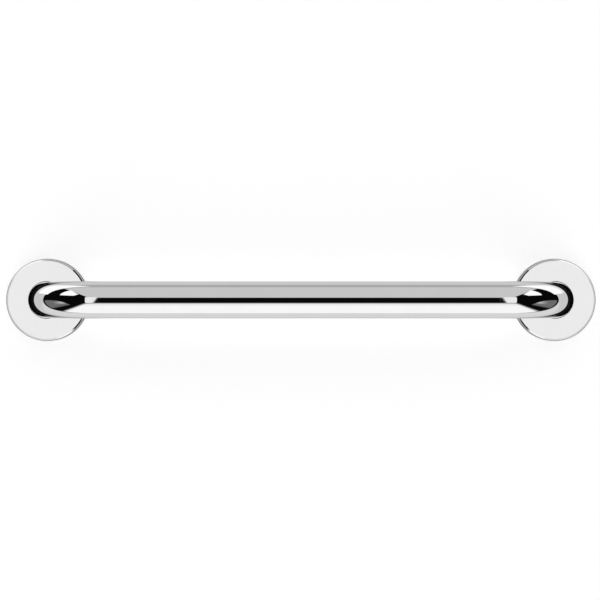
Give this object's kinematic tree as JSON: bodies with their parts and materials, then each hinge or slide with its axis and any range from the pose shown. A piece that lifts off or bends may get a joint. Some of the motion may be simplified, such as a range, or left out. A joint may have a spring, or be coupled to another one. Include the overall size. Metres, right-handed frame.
{
  "type": "grab rail",
  "caption": "Straight grab rail of polished steel tube with a round foot at each end, whose cover slides up the bend to uncover the screwed flange.",
  "frame": {"origin": "on the mounting surface, midway between the axes of the two legs", "axes": "+Z leaves the mounting surface, X runs along the rail, Y across it"},
  "size_m": [0.523, 0.073, 0.1052],
  "materials": {
    "polished_steel": "mirror-polished stainless steel",
    "cover_steel": "mirror-polished stainless steel sheet",
    "flange_steel": "plain machined stainless steel",
    "weld_metal": "rippled weld, brushed clean",
    "screw_steel": "plain stainless steel",
    "gasket_rubber": "matt black rubber sheet",
    "collar_rubber": "smooth black rubber"
  },
  "bodies": {
    "rail": {"rail_tube": "polished_steel", "left_flange": "flange_steel", "left_weld_bead": "weld_metal", "left_base_gasket": "gasket_rubber", "left_screw_1": "screw_steel", "left_screw_2": "screw_steel", "left_screw_3": "screw_steel", "right_flange": "flange_steel", "right_weld_bead": "weld_metal", "right_base_gasket": "gasket_rubber", "right_screw_1": "screw_steel", "right_screw_2": "screw_steel", "right_screw_3": "screw_steel"},
    "left_collar": {"left_cover_collar": "collar_rubber"},
    "left_cover": {"left_cover": "cover_steel"},
    "right_collar": {"right_cover_collar": "collar_rubber"},
    "right_cover": {"right_cover": "cover_steel"}
  },
  "joints": [
    {"name": "left_cover_lift", "type": "hinge", "parent": "rail", "child": "left_collar", "pos_m": [-0.179, 0, 0.008], "axis": [0, 1, 0], "range_deg": [0, 85]},
    {"name": "left_cover_spin", "type": "hinge", "parent": "left_collar", "child": "left_cover", "pos_m": [-0.225, 0, 0.0096], "axis": [0, 0, 1], "continuous": true},
    {"name": "right_cover_lift", "type": "hinge", "parent": "rail", "child": "right_collar", "pos_m": [0.179, 0, 0.008], "axis": [0, -1, 0], "range_deg": [0, 85]},
    {"name": "right_cover_spin", "type": "hinge", "parent": "right_collar", "child": "right_cover", "pos_m": [0.225, 0, 0.0096], "axis": [0, 0, 1], "continuous": true}
  ]
}
